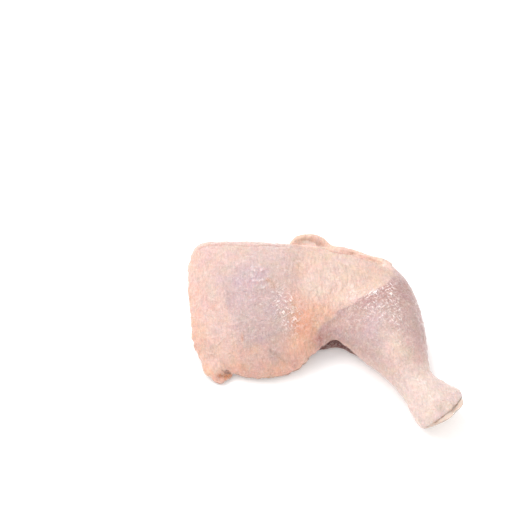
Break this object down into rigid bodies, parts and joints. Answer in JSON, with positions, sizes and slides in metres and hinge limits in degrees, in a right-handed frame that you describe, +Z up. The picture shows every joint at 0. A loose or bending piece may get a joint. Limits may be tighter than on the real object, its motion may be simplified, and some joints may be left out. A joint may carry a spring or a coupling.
{
  "type": "raw chicken leg",
  "caption": "Raw whole chicken leg, thigh and drumstick in one, skin on, lying flat with the bent knee and the cut knuckle bone showing.",
  "frame": {"origin": "on the surface the leg lies on, under the middle of its bounding box", "axes": "+X from the thigh's hip end towards the knuckle, +Y towards the thigh's back edge with its skin lip, +Z up"},
  "size_m": [0.1678, 0.142, 0.0368],
  "materials": {
    "raw_skin": "moist raw chicken skin, pale pink with cream fat and mauve meat showing through",
    "cartilage": "moist cream joint cartilage"
  },
  "bodies": {
    "root": {"leg": "raw_skin", "shank_bone": "cartilage"}
  },
  "joints": []
}
